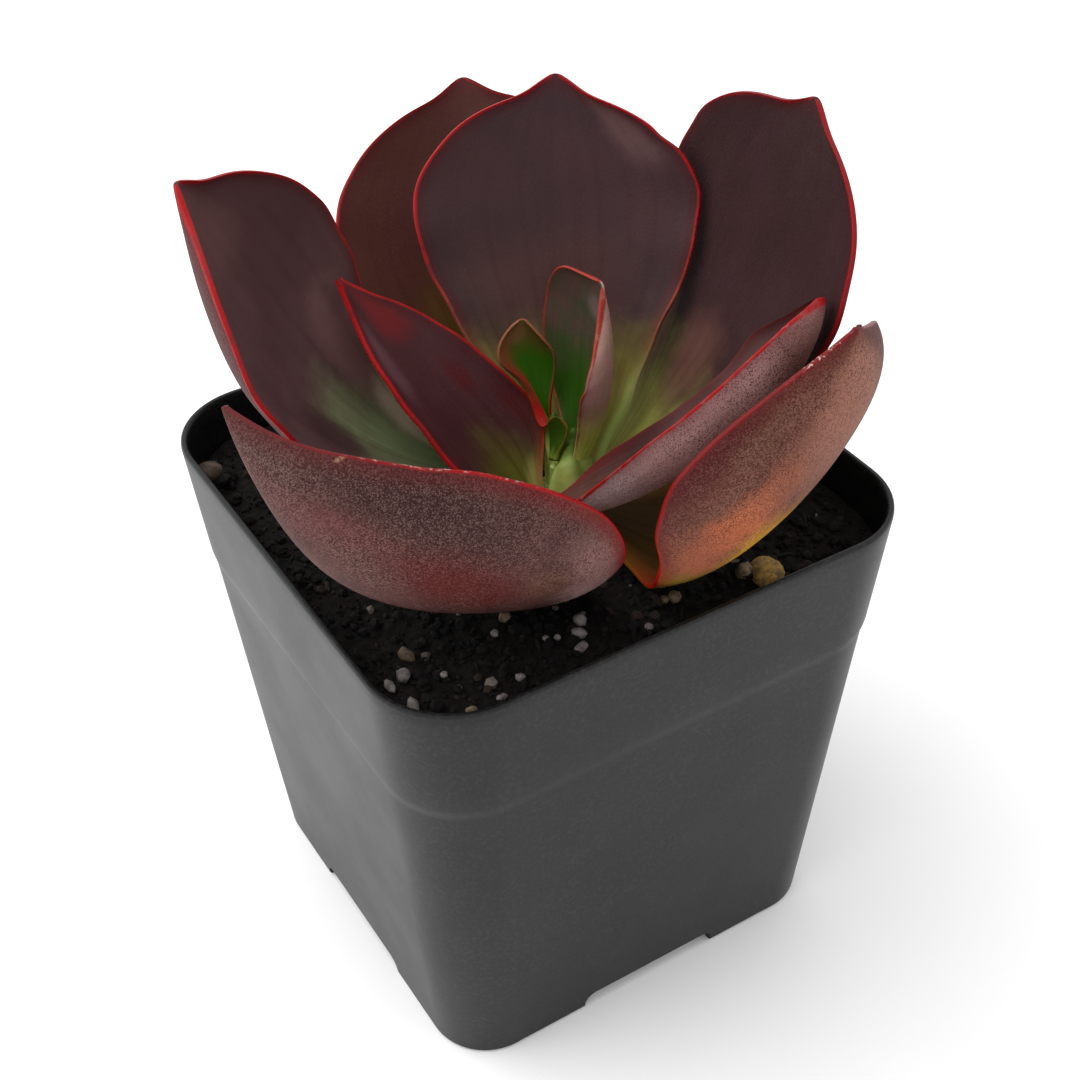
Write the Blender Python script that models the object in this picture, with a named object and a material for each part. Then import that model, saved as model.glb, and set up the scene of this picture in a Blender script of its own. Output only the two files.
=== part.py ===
"""Potted echeveria: eleven fleshy leaves on a short stem, in soil, in a square plastic nursery pot.

Sizes are in millimetres and angles in degrees; each mesh is made in metres. +Z is up, and the origin is on
the pot's axis at the level it stands on. An angle round the plant is measured from +X towards +Y.
"""

import math
from collections import namedtuple

import bmesh
import bpy
import numpy as np
from mathutils import Matrix, Vector, noise

MM = 0.001

# Pot
POT_HEIGHT = 63.3
POT_TOP_HALF = 32.0
POT_FOOT_HALF = 26.5
POT_TOP_CORNER = 10.0
POT_FOOT_CORNER = 7.2
POT_WALL = 0.8
POT_FLOOR = 1.2
STEP_BELOW_RIM = 15.0
STEP_HEIGHT = 1.2
STEP_DEPTH = 0.35
STEP_TOP = POT_HEIGHT - STEP_BELOW_RIM
STEP_LEVELS = (STEP_TOP - STEP_HEIGHT, STEP_TOP - STEP_HEIGHT / 2, STEP_TOP)
CORNER_STEPS = 8
ARCH_WIDTH = 19.0
ARCH_HEIGHT = 2.3
ARCH_DEPTH = 4.0
ARCH_ROUND = 1.6
ARCH_ROUND_STEPS = 4
DRAIN_RADIUS = 2.5
DRAIN_OFFSET = 14.0

# Soil
CLEARANCE = 0.3
SOIL_EDGE = 57.6
SOIL_DISH = 3.0
DISH_START = 8.0
DISH_RUN = 16.0
SOIL_CELLS = 44
SOIL_ROUGH = 0.35
SOIL_BUMP_RATE = 0.35
ROUGH_START = 18.0
ROUGH_RUN = 8.0
GRAIN_SEED = 7
GRAIN_COUNT = 46
GRAIN_REACH = 28.6
GRAIN_DIAGONAL = 50.0
GRAIN_START = 24.0
GRAIN_GAP = 0.4
GRAIN_FLATNESS = 0.8
SEEN_GRAINS = (
    (-28.0, 23.4, 1.9), (13.1, -23.8, 1.7), (16.2, -24.9, 2.0), (-7.2, -21.2, 1.2), (-8.5, -22.7, 1.0),
    (-0.9, -25.7, 1.0), (-12.2, -14.6, 1.0), (-20.2, -16.5, 1.0), (-22.6, -19.8, 1.1), (-24.9, -20.6, 0.9),
    (5.2, -22.8, 1.0), (2.3, -22.3, 0.9),
)

# Stem, which stands in a plain hole in the soil
STEM_X = 3.0
STEM_Y = -1.0
STEM_PROFILE = (
    (3.2, 48.0), (3.4, 54.0), (4.2, 56.5), (4.2, 57.8), (2.0, 59.0), (0.9, 60.0), (0.55, 61.0), (0.5, 62.3)
)
STEM_SIDES = 20
STEM_HOLE_RADIUS = 3.8
STEM_HOLE_FLOOR = 47.0

# Leaves
LEAF_ALONG = 16
LEAF_ACROSS = 10
EDGE_THICKNESS = 0.8
TIP_WIDTH = 1.0
TIP_SPREAD = 2.6
TIP_START = 0.85
STATION_CROWDING = 1.7
CENTRE_LINE_STEPS = 80

# base: where the leaf starts, as an angle round the stem, a distance from its axis and a height
# heading: direction of the centre line at the base, its change up to the tip, and a bow between them
# rise: slope of the centre line at the base and at the tip, and a bow between them
# roll: turn of the blade about the centre line, at the base and at the tip
# curl: angle through which the left and right halves curl up at the base, and what multiplies it at the tip
# widest: share of the length where the blade is widest; fullness and bluntness shape it from there to the tip
# point: length of the small point that the tip ends in
Leaf = namedtuple(
    "Leaf", "base heading rise roll length width curl widest fullness base_width thickness bluntness point"
)

LEAVES = {
    "leaf_back": Leaf(
        (34, 3.8, 58.9), (55, 1, 7), (50, 71, -5), (-3, -2),
        43.5, 34, (26, 34, 0.95), 0.73, 1.6, 8.1, 2.5, 0.5, 2,
    ),
    "leaf_back_left": Leaf(
        (86, 5.8, 57.4), (75, -6, -1), (39, 52, 0), (-1, -8),
        46.5, 37, (32, 28, 1), 0.62, 1.9, 5.4, 2.7, 0.55, 2,
    ),
    "leaf_back_right": Leaf(
        (356, 6.3, 57.2), (348, -23, 0), (42, 86, -1), (-12, 29),
        50.5, 40.1, (17, 23, 1), 0.68, 2.1, 7, 2.6, 0.45, 2,
    ),
    "leaf_left": Leaf(
        (140, 5.5, 58.7), (164, 2, -11), (17, 79, 6), (4, -20),
        53.5, 38, (33, 37, 1.25), 0.7, 1.6, 4.5, 2.8, 0.5, 2,
    ),
    "leaf_front_left": Leaf(
        (226, 5.5, 57.6), (219, -120, 38), (-2, 56, 14), (-31, 89),
        60, 39.5, (37, 64, 1.75), 0.48, 1.6, 5, 2.8, 0.8, 2,
    ),
    "leaf_front_right": Leaf(
        (289, 4.9, 59.2), (300, -6, -12), (-13, 91, 13), (35, -14),
        54.1, 40, (49, 39, 1.1), 0.73, 1.6, 6, 2.5, 1, 0.4,
    ),
    "leaf_left_inner": Leaf(
        (196, 4.2, 59.6), (116, 2, 5), (46, 45, -2), (-3, 9),
        30.7, 17.5, (38, 40, 0.55), 0.25, 2.7, 4.5, 2.4, 0.75, 2,
    ),
    "leaf_right_folded": Leaf(
        (248, 4.21, 60.27), (282, 116, -33), (33, 45, 3), (48, -56),
        42.47, 17.79, (67, 90, 0.95), 0.74, 3, 6.14, 2.4, 0.4, 2,
    ),
    "heart_leaf_right": Leaf(
        (313, 1.58, 60.79), (357, 53, 4), (52, 116, -8), (-16, -63),
        24.3, 20.4, (62, 98, 0.6), 0.64, 2.7, 1.61, 1.65, 0.4, 2,
    ),
    "heart_leaf_left": Leaf(
        (74, 2.66, 65.97), (89, -5, 1), (37, 91, 1), (22, -32),
        12.33, 7.36, (52, 71, 0.8), 0.71, 1.9, 1.45, 1.6, 0.54, 0.8,
    ),
    "heart_bud": Leaf(
        (231, 0.67, 63.53), (36, 5, 2), (40, 90, 7), (-44, -6),
        4.66, 3.31, (37, 31, 1), 0.88, 2.6, 1.39, 1.2, 0.5, 0.8,
    ),
}


def smooth_ramp(value):
    """0 below 0, 1 above 1, and an even S between."""
    value = min(max(value, 0.0), 1.0)
    return value * value * (3 - 2 * value)


def new_object(name, mesh_builder, material):
    """Object whose mesh comes from a bmesh in millimetres."""
    bmesh.ops.scale(mesh_builder, vec=(MM, MM, MM), verts=mesh_builder.verts[:])
    mesh = bpy.data.meshes.new(name)
    mesh_builder.to_mesh(mesh)
    mesh_builder.free()
    obj = bpy.data.objects.new(name, mesh)
    bpy.context.scene.collection.objects.link(obj)
    if material is not None:
        mesh.materials.append(material)
    return obj


def make_material(name, colour, roughness, metallic=0.0):
    material = bpy.data.materials.new(name)
    material.use_nodes = True
    shader = material.node_tree.nodes["Principled BSDF"]
    shader.inputs["Base Color"].default_value = (*colour, 1.0)
    shader.inputs["Roughness"].default_value = roughness
    shader.inputs["Metallic"].default_value = metallic
    material.diffuse_color = (*colour, 1.0)
    return material


def shade_smooth(obj, angle):
    obj.data.shade_smooth()
    obj.data.set_sharp_from_angle(angle=math.radians(angle))


def boolean(obj, other, operation):
    """Live Boolean on obj with a helper that stays out of the render."""
    other.hide_render = True
    other.display_type = "WIRE"
    modifier = obj.modifiers.new(other.name, "BOOLEAN")
    modifier.operation = operation
    modifier.solver = "EXACT"
    modifier.object = other


def apply_modifiers(obj):
    graph = bpy.context.evaluated_depsgraph_get()
    mesh = bpy.data.meshes.new_from_object(obj.evaluated_get(graph))
    obj.modifiers.clear()
    old = obj.data
    obj.data = mesh
    bpy.data.meshes.remove(old)
    mesh.name = obj.name


# Pot and soil


def rounded_square(half, corner):
    """Outline of a square with round corners, from +X round towards +Y."""
    points = []
    for quarter in range(4):
        turn = quarter * math.pi / 2
        for step in range(CORNER_STEPS + 1):
            angle = math.pi / 2 * step / CORNER_STEPS
            x = half - corner + corner * math.cos(angle)
            y = half - corner + corner * math.sin(angle)
            points.append((x * math.cos(turn) - y * math.sin(turn), x * math.sin(turn) + y * math.cos(turn)))
    return points


def pot_section(height, inset):
    """The pot's outline at a height, drawn in by inset; above the step it stands out a little."""
    share = height / POT_HEIGHT
    half = POT_FOOT_HALF + (POT_TOP_HALF - POT_FOOT_HALF) * share
    corner = POT_FOOT_CORNER + (POT_TOP_CORNER - POT_FOOT_CORNER) * share
    step = smooth_ramp((height - STEP_TOP + STEP_HEIGHT) / STEP_HEIGHT)
    half += STEP_DEPTH * (step - 1) * smooth_ramp(height / STEP_TOP)
    return rounded_square(half - inset, corner - inset)


def tapered_block(name, heights, inset, material):
    """Closed block with the pot's taper through the given heights."""
    block = bmesh.new()
    cuts = len(heights) - 1
    count = len(pot_section(heights[0], inset))
    bmesh.ops.create_cone(block, cap_ends=True, segments=count, radius1=1, radius2=1, depth=cuts)
    for cut in range(1, cuts):
        everything = block.verts[:] + block.edges[:] + block.faces[:]
        bmesh.ops.bisect_plane(block, geom=everything, plane_co=(0, 0, cut - cuts / 2), plane_no=(0, 0, 1))
    for vert in block.verts:
        height = heights[round(vert.co.z + cuts / 2)]
        index = round(math.atan2(vert.co.y, vert.co.x) / (2 * math.pi) * count) % count
        x, y = pot_section(height, inset)[index]
        vert.co = (x, y, height)
    return new_object(name, block, material)


def arch_cutter(name, side, grow):
    """Block that lifts the pot's foot in the middle of one side, made larger all round by grow."""
    cutter = bmesh.new()
    bmesh.ops.create_cube(cutter, size=1)
    depth = 2 * (ARCH_DEPTH + grow)
    height = 2 * (ARCH_HEIGHT + grow)
    bmesh.ops.scale(cutter, vec=(depth, ARCH_WIDTH + 2 * grow, height), verts=cutter.verts[:])
    upper = []
    for edge in cutter.edges:
        start, end = (vert.co for vert in edge.verts)
        if start.z > 0 and end.z > 0 and start.y * end.y > 0:
            upper.append(edge)
    bmesh.ops.bevel(
        cutter, geom=upper, offset=ARCH_ROUND, offset_type="OFFSET", segments=ARCH_ROUND_STEPS,
        profile=0.5, affect="EDGES", material=-1,
    )
    bmesh.ops.translate(cutter, vec=(POT_FOOT_HALF, 0, 0), verts=cutter.verts[:])
    bmesh.ops.rotate(cutter, matrix=Matrix.Rotation(side * math.pi / 2, 3, "Z"), verts=cutter.verts[:])
    return new_object(name, cutter, None)


def cylinder(name, x, y, radius, bottom, top, segments=24):
    builder = bmesh.new()
    bmesh.ops.create_cone(
        builder, cap_ends=True, segments=segments, radius1=radius, radius2=radius, depth=top - bottom
    )
    bmesh.ops.translate(builder, vec=(x, y, (top + bottom) / 2), verts=builder.verts[:])
    return new_object(name, builder, None)


def build_pot(material):
    pot = tapered_block("pot", (0.0, *STEP_LEVELS, POT_HEIGHT), 0.0, material)
    inside = tapered_block("pot_inside", (POT_FLOOR, *STEP_LEVELS, POT_HEIGHT + 2), POT_WALL, None)
    for side in range(4):
        boolean(inside, arch_cutter(f"arch_inside_{side + 1}", side, POT_WALL), "DIFFERENCE")
    boolean(pot, inside, "DIFFERENCE")
    for side in range(4):
        boolean(pot, arch_cutter(f"arch_{side + 1}", side, 0.0), "DIFFERENCE")
    for corner in range(4):
        turn = math.pi / 4 + corner * math.pi / 2
        x, y = DRAIN_OFFSET * math.sqrt(2) * math.cos(turn), DRAIN_OFFSET * math.sqrt(2) * math.sin(turn)
        boolean(pot, cylinder(f"drain_{corner + 1}", x, y, DRAIN_RADIUS, -1, POT_FLOOR + 1), "DIFFERENCE")
    shade_smooth(pot, 30)
    return pot


def from_stem(x, y):
    return math.hypot(x - STEM_X, y - STEM_Y)


def soil_height(x, y):
    """Level of the soil, which dips towards the stem."""
    share = (from_stem(x, y) - DISH_START) / DISH_RUN
    return SOIL_EDGE - SOIL_DISH * (1 - smooth_ramp(share))


def grain_places():
    """Centre and radius of each grain in the soil: the larger ones by hand, then random ones by the wall."""
    placed = list(SEEN_GRAINS)
    rng = np.random.default_rng(GRAIN_SEED)
    while len(placed) < GRAIN_COUNT:
        x, y = rng.uniform(-GRAIN_REACH, GRAIN_REACH, 2)
        radius = rng.uniform(0.5, 0.9)
        clear = all(math.hypot(x - a, y - b) > radius + c + GRAIN_GAP for a, b, c in placed)
        if clear and from_stem(x, y) > GRAIN_START and abs(x) + abs(y) < GRAIN_DIAGONAL:
            placed.append((x, y, radius))
    return placed


def build_soil(material):
    ground = bmesh.new()
    bmesh.ops.create_cube(ground, size=2)
    top = [e for e in ground.edges if all(v.co.z > 0 for v in e.verts)]
    bmesh.ops.subdivide_edges(ground, edges=top, cuts=SOIL_CELLS - 1, use_grid_fill=True)
    for vert in ground.verts:
        x, y = vert.co.x * POT_TOP_HALF, vert.co.y * POT_TOP_HALF
        height = 0.0
        if vert.co.z > 0:
            near_wall = smooth_ramp((from_stem(x, y) - ROUGH_START) / ROUGH_RUN)
            bumps = noise.fractal(Vector((x, y, 0.0)) * SOIL_BUMP_RATE, 0.6, 2.0, 3)
            height = soil_height(x, y) + SOIL_ROUGH * (0.25 + 0.75 * near_wall) * bumps
        vert.co = (x, y, height)
    soil = new_object("soil", ground, material)
    levels = (POT_FLOOR + CLEARANCE, *STEP_LEVELS, POT_HEIGHT)
    fill = tapered_block("soil_limit", levels, POT_WALL + CLEARANCE, None)
    boolean(soil, fill, "INTERSECT")
    for side in range(4):
        arch = arch_cutter(f"soil_arch_{side + 1}", side, POT_WALL + CLEARANCE)
        boolean(soil, arch, "DIFFERENCE")
    hole = cylinder("stem_hole", STEM_X, STEM_Y, STEM_HOLE_RADIUS, STEM_HOLE_FLOOR, POT_HEIGHT)
    boolean(soil, hole, "DIFFERENCE")
    grains = bpy.data.collections.new("grains")
    bpy.context.scene.collection.children.link(grains)
    rng = np.random.default_rng(GRAIN_SEED)
    for number, (x, y, radius) in enumerate(grain_places()):
        grain = bmesh.new()
        bmesh.ops.create_icosphere(grain, subdivisions=2 if radius > 1.5 else 1, radius=radius)
        stretch = rng.uniform(0.8, 1.15, 3)
        bmesh.ops.scale(grain, vec=(stretch[0], stretch[1], GRAIN_FLATNESS), verts=grain.verts[:])
        spin = Matrix.Rotation(rng.uniform(0, math.pi), 3, "Z")
        bmesh.ops.rotate(grain, matrix=spin, verts=grain.verts[:])
        bmesh.ops.translate(grain, vec=(x, y, soil_height(x, y) + 0.1 * radius), verts=grain.verts[:])
        obj = new_object(f"grain_{number + 1}", grain, None)
        bpy.context.scene.collection.objects.unlink(obj)
        grains.objects.link(obj)
    join = soil.modifiers.new("grains", "BOOLEAN")
    join.operation = "UNION"
    join.operand_type = "COLLECTION"
    join.solver = "EXACT"
    join.collection = grains
    apply_modifiers(soil)
    for obj in list(grains.objects):
        bpy.data.objects.remove(obj)
    bpy.data.collections.remove(grains)
    for obj in [o for o in bpy.data.objects if o.name.startswith(("soil_", "stem_hole"))]:
        bpy.data.objects.remove(obj)
    shade_smooth(soil, 40)
    return soil


# Stem and leaves


def build_stem(material):
    builder = bmesh.new()
    axis_bottom = builder.verts.new((0, 0, STEM_PROFILE[0][1]))
    chain = [axis_bottom]
    for radius, height in STEM_PROFILE:
        chain.append(builder.verts.new((radius, 0, height)))
    chain.append(builder.verts.new((0, 0, STEM_PROFILE[-1][1] + 0.4)))
    edges = [builder.edges.new(pair) for pair in zip(chain, chain[1:])]
    bmesh.ops.spin(
        builder, geom=chain + edges, cent=(0, 0, 0), axis=(0, 0, 1), angle=2 * math.pi,
        steps=STEM_SIDES, use_merge=True,
    )
    bmesh.ops.remove_doubles(builder, verts=builder.verts[:], dist=1e-4)
    bmesh.ops.recalc_face_normals(builder, faces=builder.faces[:])
    bmesh.ops.translate(builder, vec=(STEM_X, STEM_Y, 0), verts=builder.verts[:])
    stem = new_object("stem", builder, material)
    shade_smooth(stem, 50)
    return stem


def leaf_points(leaf, along, across, face):
    """Points of a leaf, in millimetres: along from 0 at the base to 1, across from -1 to 1, face 1 or -1."""
    fine = np.linspace(0, 1, CENTRE_LINE_STEPS + 1)

    def slope(share):
        bow = 4 * share * (1 - share)
        rise = leaf.rise[0] + (leaf.rise[1] - leaf.rise[0]) * share + leaf.rise[2] * bow
        heading = leaf.heading[0] + leaf.heading[1] * share + leaf.heading[2] * bow
        return np.radians(rise), np.radians(heading)

    def direction(share):
        rise, heading = slope(share)
        return np.stack([np.cos(rise) * np.cos(heading), np.cos(rise) * np.sin(heading), np.sin(rise)], 1)

    step = direction(fine)
    turn, out, height = leaf.base
    start = np.array([
        STEM_X + out * math.cos(math.radians(turn)), STEM_Y + out * math.sin(math.radians(turn)), height
    ])
    moves = np.cumsum((step[1:] + step[:-1]) / 2, 0) * leaf.length / CENTRE_LINE_STEPS
    line = np.vstack([start, start + moves])
    centre = np.stack([np.interp(along, fine, line[:, k]) for k in range(3)], 1)
    forward = direction(along)
    heading = slope(along)[1]
    level = np.stack([-np.sin(heading), np.cos(heading), np.zeros_like(heading)], 1)
    inward = np.cross(forward, level)
    roll = np.radians(leaf.roll[0] + (leaf.roll[1] - leaf.roll[0]) * along)[:, None]
    left = np.cos(roll) * level + np.sin(roll) * inward
    above = np.cos(roll) * inward - np.sin(roll) * level

    narrow = min(leaf.base_width / leaf.width, 0.8)
    opening = narrow + (1 - narrow) * np.sin(np.pi / 2 * np.clip(along / leaf.widest, 0, 1)) ** 1.5
    past = np.clip((along - leaf.widest) / (1 - leaf.widest), 0, 1)
    closing = (1 - past**leaf.fullness) ** leaf.bluntness
    width = np.maximum(leaf.width * np.where(along < leaf.widest, opening, closing), TIP_WIDTH)
    curl = np.radians(np.where(across > 0, leaf.curl[0], leaf.curl[1])) * (1 - along + leaf.curl[2] * along)
    radius = width / 2 / curl
    angle = curl * across
    sideways = radius * np.sin(angle)
    lift = radius * (1 - np.cos(angle))

    body = np.maximum(leaf.thickness * (1 - 0.5 * along) - EDGE_THICKNESS, 0.1)
    thick = EDGE_THICKNESS + body * (1 - np.abs(across) ** 2.2) * (1 - along**6)
    near_tip = np.clip((along - TIP_START) / (1 - TIP_START), 0, 1) ** 2
    point_out = leaf.point * np.exp(-((sideways / TIP_SPREAD) ** 2)) * near_tip
    normal = np.cos(angle)[:, None] * above - np.sin(angle)[:, None] * left
    points = centre + sideways[:, None] * left + lift[:, None] * above
    return points + (face * thick / 2)[:, None] * normal + point_out[:, None] * forward


def build_leaf(name, leaf, material):
    builder = bmesh.new()
    bmesh.ops.create_grid(builder, x_segments=LEAF_ALONG, y_segments=LEAF_ACROSS, size=1)
    bmesh.ops.triangulate(builder, faces=builder.faces[:])
    bmesh.ops.solidify(builder, geom=builder.faces[:], thickness=1)
    bmesh.ops.recalc_face_normals(builder, faces=builder.faces[:])
    blank = np.array([v.co for v in builder.verts])
    along = 1 - ((1 - blank[:, 0]) / 2) ** STATION_CROWDING
    middle = (blank[:, 2].max() + blank[:, 2].min()) / 2
    face = np.where(blank[:, 2] > middle, 1.0, -1.0)
    for vert, point in zip(builder.verts, leaf_points(leaf, along, blank[:, 1], face)):
        vert.co = point
    obj = new_object(name, builder, material)
    shade_smooth(obj, 60)
    return obj


def main():
    for obj in list(bpy.data.objects):
        bpy.data.objects.remove(obj)
    plastic = make_material("black_plastic", (0.035, 0.036, 0.038), 0.55)
    earth = make_material("potting_soil", (0.018, 0.014, 0.012), 0.95)
    burgundy = make_material("leaf_burgundy", (0.085, 0.035, 0.045), 0.45)
    lilac = make_material("leaf_lilac_brown", (0.22, 0.13, 0.13), 0.5)
    green = make_material("heart_green", (0.16, 0.26, 0.06), 0.5)
    outer_faces_seen = ("leaf_front_left", "leaf_front_right", "leaf_right_folded")
    build_pot(plastic)
    build_soil(earth)
    build_stem(green)
    for name, leaf in LEAVES.items():
        if name.startswith("heart"):
            build_leaf(name, leaf, green)
        elif name in outer_faces_seen:
            build_leaf(name, leaf, lilac)
        else:
            build_leaf(name, leaf, burgundy)


main()
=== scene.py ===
"""Looks of the potted echeveria: burgundy leaves with red margins, crumbly soil and a thin black plastic pot.

Sizes are in millimetres and angles in degrees; each mesh is made in metres. +Z is up, and the origin is on
the pot's axis at the level it stands on. An angle round the plant is measured from +X towards +Y.
"""

import math
from collections import namedtuple

import bmesh
import bpy
import numpy as np
from mathutils import Color, Matrix, Vector
from mathutils.bvhtree import BVHTree

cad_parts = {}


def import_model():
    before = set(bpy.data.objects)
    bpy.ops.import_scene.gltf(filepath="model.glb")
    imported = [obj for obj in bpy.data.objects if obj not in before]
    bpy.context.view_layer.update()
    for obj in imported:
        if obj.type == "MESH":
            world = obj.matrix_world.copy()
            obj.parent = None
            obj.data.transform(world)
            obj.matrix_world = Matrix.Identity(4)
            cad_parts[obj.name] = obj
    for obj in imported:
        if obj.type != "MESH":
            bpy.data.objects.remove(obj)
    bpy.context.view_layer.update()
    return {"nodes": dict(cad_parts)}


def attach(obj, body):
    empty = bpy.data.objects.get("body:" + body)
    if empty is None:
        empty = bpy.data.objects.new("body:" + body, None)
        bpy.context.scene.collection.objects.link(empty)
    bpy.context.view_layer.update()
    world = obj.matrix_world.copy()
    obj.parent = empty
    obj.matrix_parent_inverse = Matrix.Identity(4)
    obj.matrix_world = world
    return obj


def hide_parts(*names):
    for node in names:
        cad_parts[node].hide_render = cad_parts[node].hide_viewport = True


MM = 0.001

# Camera: a lens of LENS mm on a SENSOR mm wide frame, CAMERA_AWAY mm from its target
CAMERA_TARGET = (4.503, 5.034, 46.652)
CAMERA_AZIMUTH = -30.913792
CAMERA_ELEVATION = 39.192087
CAMERA_ROLL = -1.359856
CAMERA_AWAY = 214.135
SENSOR = 36.0
LENS = 58.6277
NEAREST_SHOWN = 10.0
FARTHEST_SHOWN = 20000.0

# Studio
WORLD_STRENGTH = 1.04
FLOOR_SIZE = 3000.0
SOFTBOX_SIZE = 800.0
SOFTBOX_PLACE = (-350.0, 250.0, 600.0)
SOFTBOX_AIM = (0.0, 0.0, 60.0)
SOFTBOX_ENERGY = 4.4

# Pot
POT_HEIGHT = 63.3
POT_TOP_HALF = 32.0
POT_FOOT_HALF = 26.5
POT_TOP_CORNER = 10.0
POT_FOOT_CORNER = 7.2
POT_WALL = 0.8
POT_FLOOR = 1.2
POT_SHARP_ANGLE = 32
STEP_TOP = 48.3
STEP_HEIGHT = 2.0
STEP_DEPTH = 0.17
CORNER_STEPS = 16
SIDE_STEPS = 12
WALL_STEPS = 12
ARCH_WIDTH = 19.0
ARCH_HEIGHT = 2.3
ARCH_DEPTH = 4.0
ARCH_ROUND = 1.6
ARCH_SEGMENTS = 8
DRAIN_RADIUS = 2.5
DRAIN_OFFSET = 14.0
DRAIN_SEGMENTS = 48
DRAIN_CUT = 6.0

# Levels of the pot's wall: where they start outside and inside, and how far below the top they end
OUTSIDE_START = 3.0
INSIDE_START = 5.0
LEVELS_END = 2.0

# Rounding of the foot, as heights and insets, and of the rim, as drops from the top and insets from either
# face; the rim's crest is LIP from the outside, and the inside is cut OVERCUT past it
FOOT_ROUNDING = ((0.0, 0.5), (0.12, 0.2), (0.4, 0.0))
RIM_ROUNDING = ((0.5, 0.0), (0.2, 0.07), (0.05, 0.2))
LIP = 0.4
OVERCUT = 2.0

# Soil crumbs: from the smallest radius to CRUMB_SPREAD more, raised by a share of it. None lies within
# BARE_REACH of the stem's axis, and only fine ones within FINE_REACH
CRUMB_SEED = 11
CRUMB_COUNT = 2600
HANDFUL = 50
CRUMB_REACH = 30.2
CRUMB_CORNER = 8.6
SMALLEST_CRUMB = 0.28
CRUMB_SPREAD = 0.55
FINE_CRUMB = 0.5
BARE_REACH = 6.0
FINE_REACH = 12.0
SLIVER_SHARE = 0.2
SLIVER_STRETCH = (1.9, 0.45, 0.4)
LEAST_STRETCH = 0.65
MOST_STRETCH = 1.2
CRUMB_RAISED = 0.25
CRUMB_SHAPE = (1, 0.18)

# Seen grains: a large one is sunk and a small one raised, by shares of the radius. A shape is the number of
# subdivisions and how far corners stray. Pebbles are the grains with a radius above PEBBLE. The most that a
# grain tilts is in radians
LARGE_GRAIN = 1.0
LARGE_RAISED = -0.1
SMALL_RAISED = 0.6
PEBBLE = 1.2
PEBBLE_SHAPE = (4, 0.02)
GRAIN_SHAPE = (2, 0.14)
GRAIN_TILT = 0.4
ABOVE_GROUND = 200.0

# Stem
STEM_X = 3.0
STEM_Y = -1.0

# Fleshy bases round the stem's top: an angle round the stem, distance from its axis, lowest and highest
# level, and radius
CROWN_BASES = (
    (0, 1.9, 50.0, 66.8, 1.9),
    (329, 2.4, 50.0, 65.2, 2.0),
    (285, 2.0, 50.0, 64.6, 1.9),
    (265, 1.3, 50.0, 64.3, 1.6),
    (320, 1.2, 50.0, 65.8, 1.7),
    (58, 2.3, 54.0, 68.0, 1.2),
)
CROWN_LEAN = 6
CROWN_SEGMENTS = (24, 14)

# The bases are merged by a voxel grid of this size and then softened
CROWN_VOXEL = 0.28
CROWN_SOFTENING = 20

# Leaves: meshes
LEAF_SEGMENTS = (40, 20)
HEART_SEGMENTS = (24, 14)
OUTER_FACES_SEEN = ("leaf_front_left", "leaf_front_right", "leaf_right_folded")
SUBDIVISIONS = 2
STATION_CROWDING = 1.7
CENTRE_LINE_STEPS = 80
OUTLINE_STATIONS = 160

# Leaves: a base is at most BASE_MOST of the width, and an edge at most EDGE_MOST of the thickness; powers say
# how suddenly the outline opens and the thickness falls off
BASE_MOST = 0.8
OPENING_POWER = 1.5
TIP_WIDTH = 1.0
TIP_SPREAD = 2.6
TIP_START = 0.85
EDGE_THICKNESS = 0.5
EDGE_MOST = 0.2
BODY_LEAST = 0.1
BODY_TAPER = 0.5
SECTION_POWER = 2.2
TIP_POWER = 6

# Ripples of a margin, whose waves are in radians from base to tip: sideways ones with their share, waves, and
# shifts by leaf and by side, and one out of the blade. Leaves narrower than RIPPLE_WIDTH have smaller ones
RIPPLE_SIDE = 0.16
SIDE_WAVES = ((0.6, 21, 1, 2), (0.4, 47, 2, 1))
RIPPLE_OUT = 0.25
OUT_WAVES = 30
OUT_POWER = 4
RIPPLE_WIDTH = 30.0
PHASE_STEP = 0.9

# Where a margin draws in, or stands out with a negative depth: its side, middle and reach along the leaf, and
# depth. A half narrower than DRAWN_HALF moves as if it were that wide, and DRAWN_MOST is the largest share
DRAWN_HALF = 4.0
DRAWN_MOST = 0.8
MARGIN_DIPS = {
    "leaf_front_right": ((-1, 0.8, 0.12, 1.7), (-1, 0.53, 0.06, 0.7)),
    "leaf_back": ((-1, 0.885, 0.02, 0.7), (-1, 0.155, 0.07, -1.0)),
    "leaf_right_folded": ((1, 0.0, 0.1, 3.2),),
    "heart_leaf_left": ((1, 0.25, 0.22, 3.6), (1, 0.52, 0.14, 1.2)),
    "heart_bud": ((1, 0.6, 0.5, 1.5),),
}

# base: where the leaf starts, as an angle round the stem, a distance from its axis and a height
# heading: direction of the centre line at the base, its change up to the tip, and a bow between them
# rise: slope of the centre line at the base and at the tip, and a bow between them
# roll: turn of the blade about the centre line, at the base and at the tip
# curl: angle through which the left and right halves curl up at the base, and what multiplies it at the tip
# widest: share of the length where the blade is widest; fullness and bluntness shape it from there to the tip
# point: length of the small point that the tip ends in
Leaf = namedtuple(
    "Leaf", "base heading rise roll length width curl widest fullness base_width thickness bluntness point"
)

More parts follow.
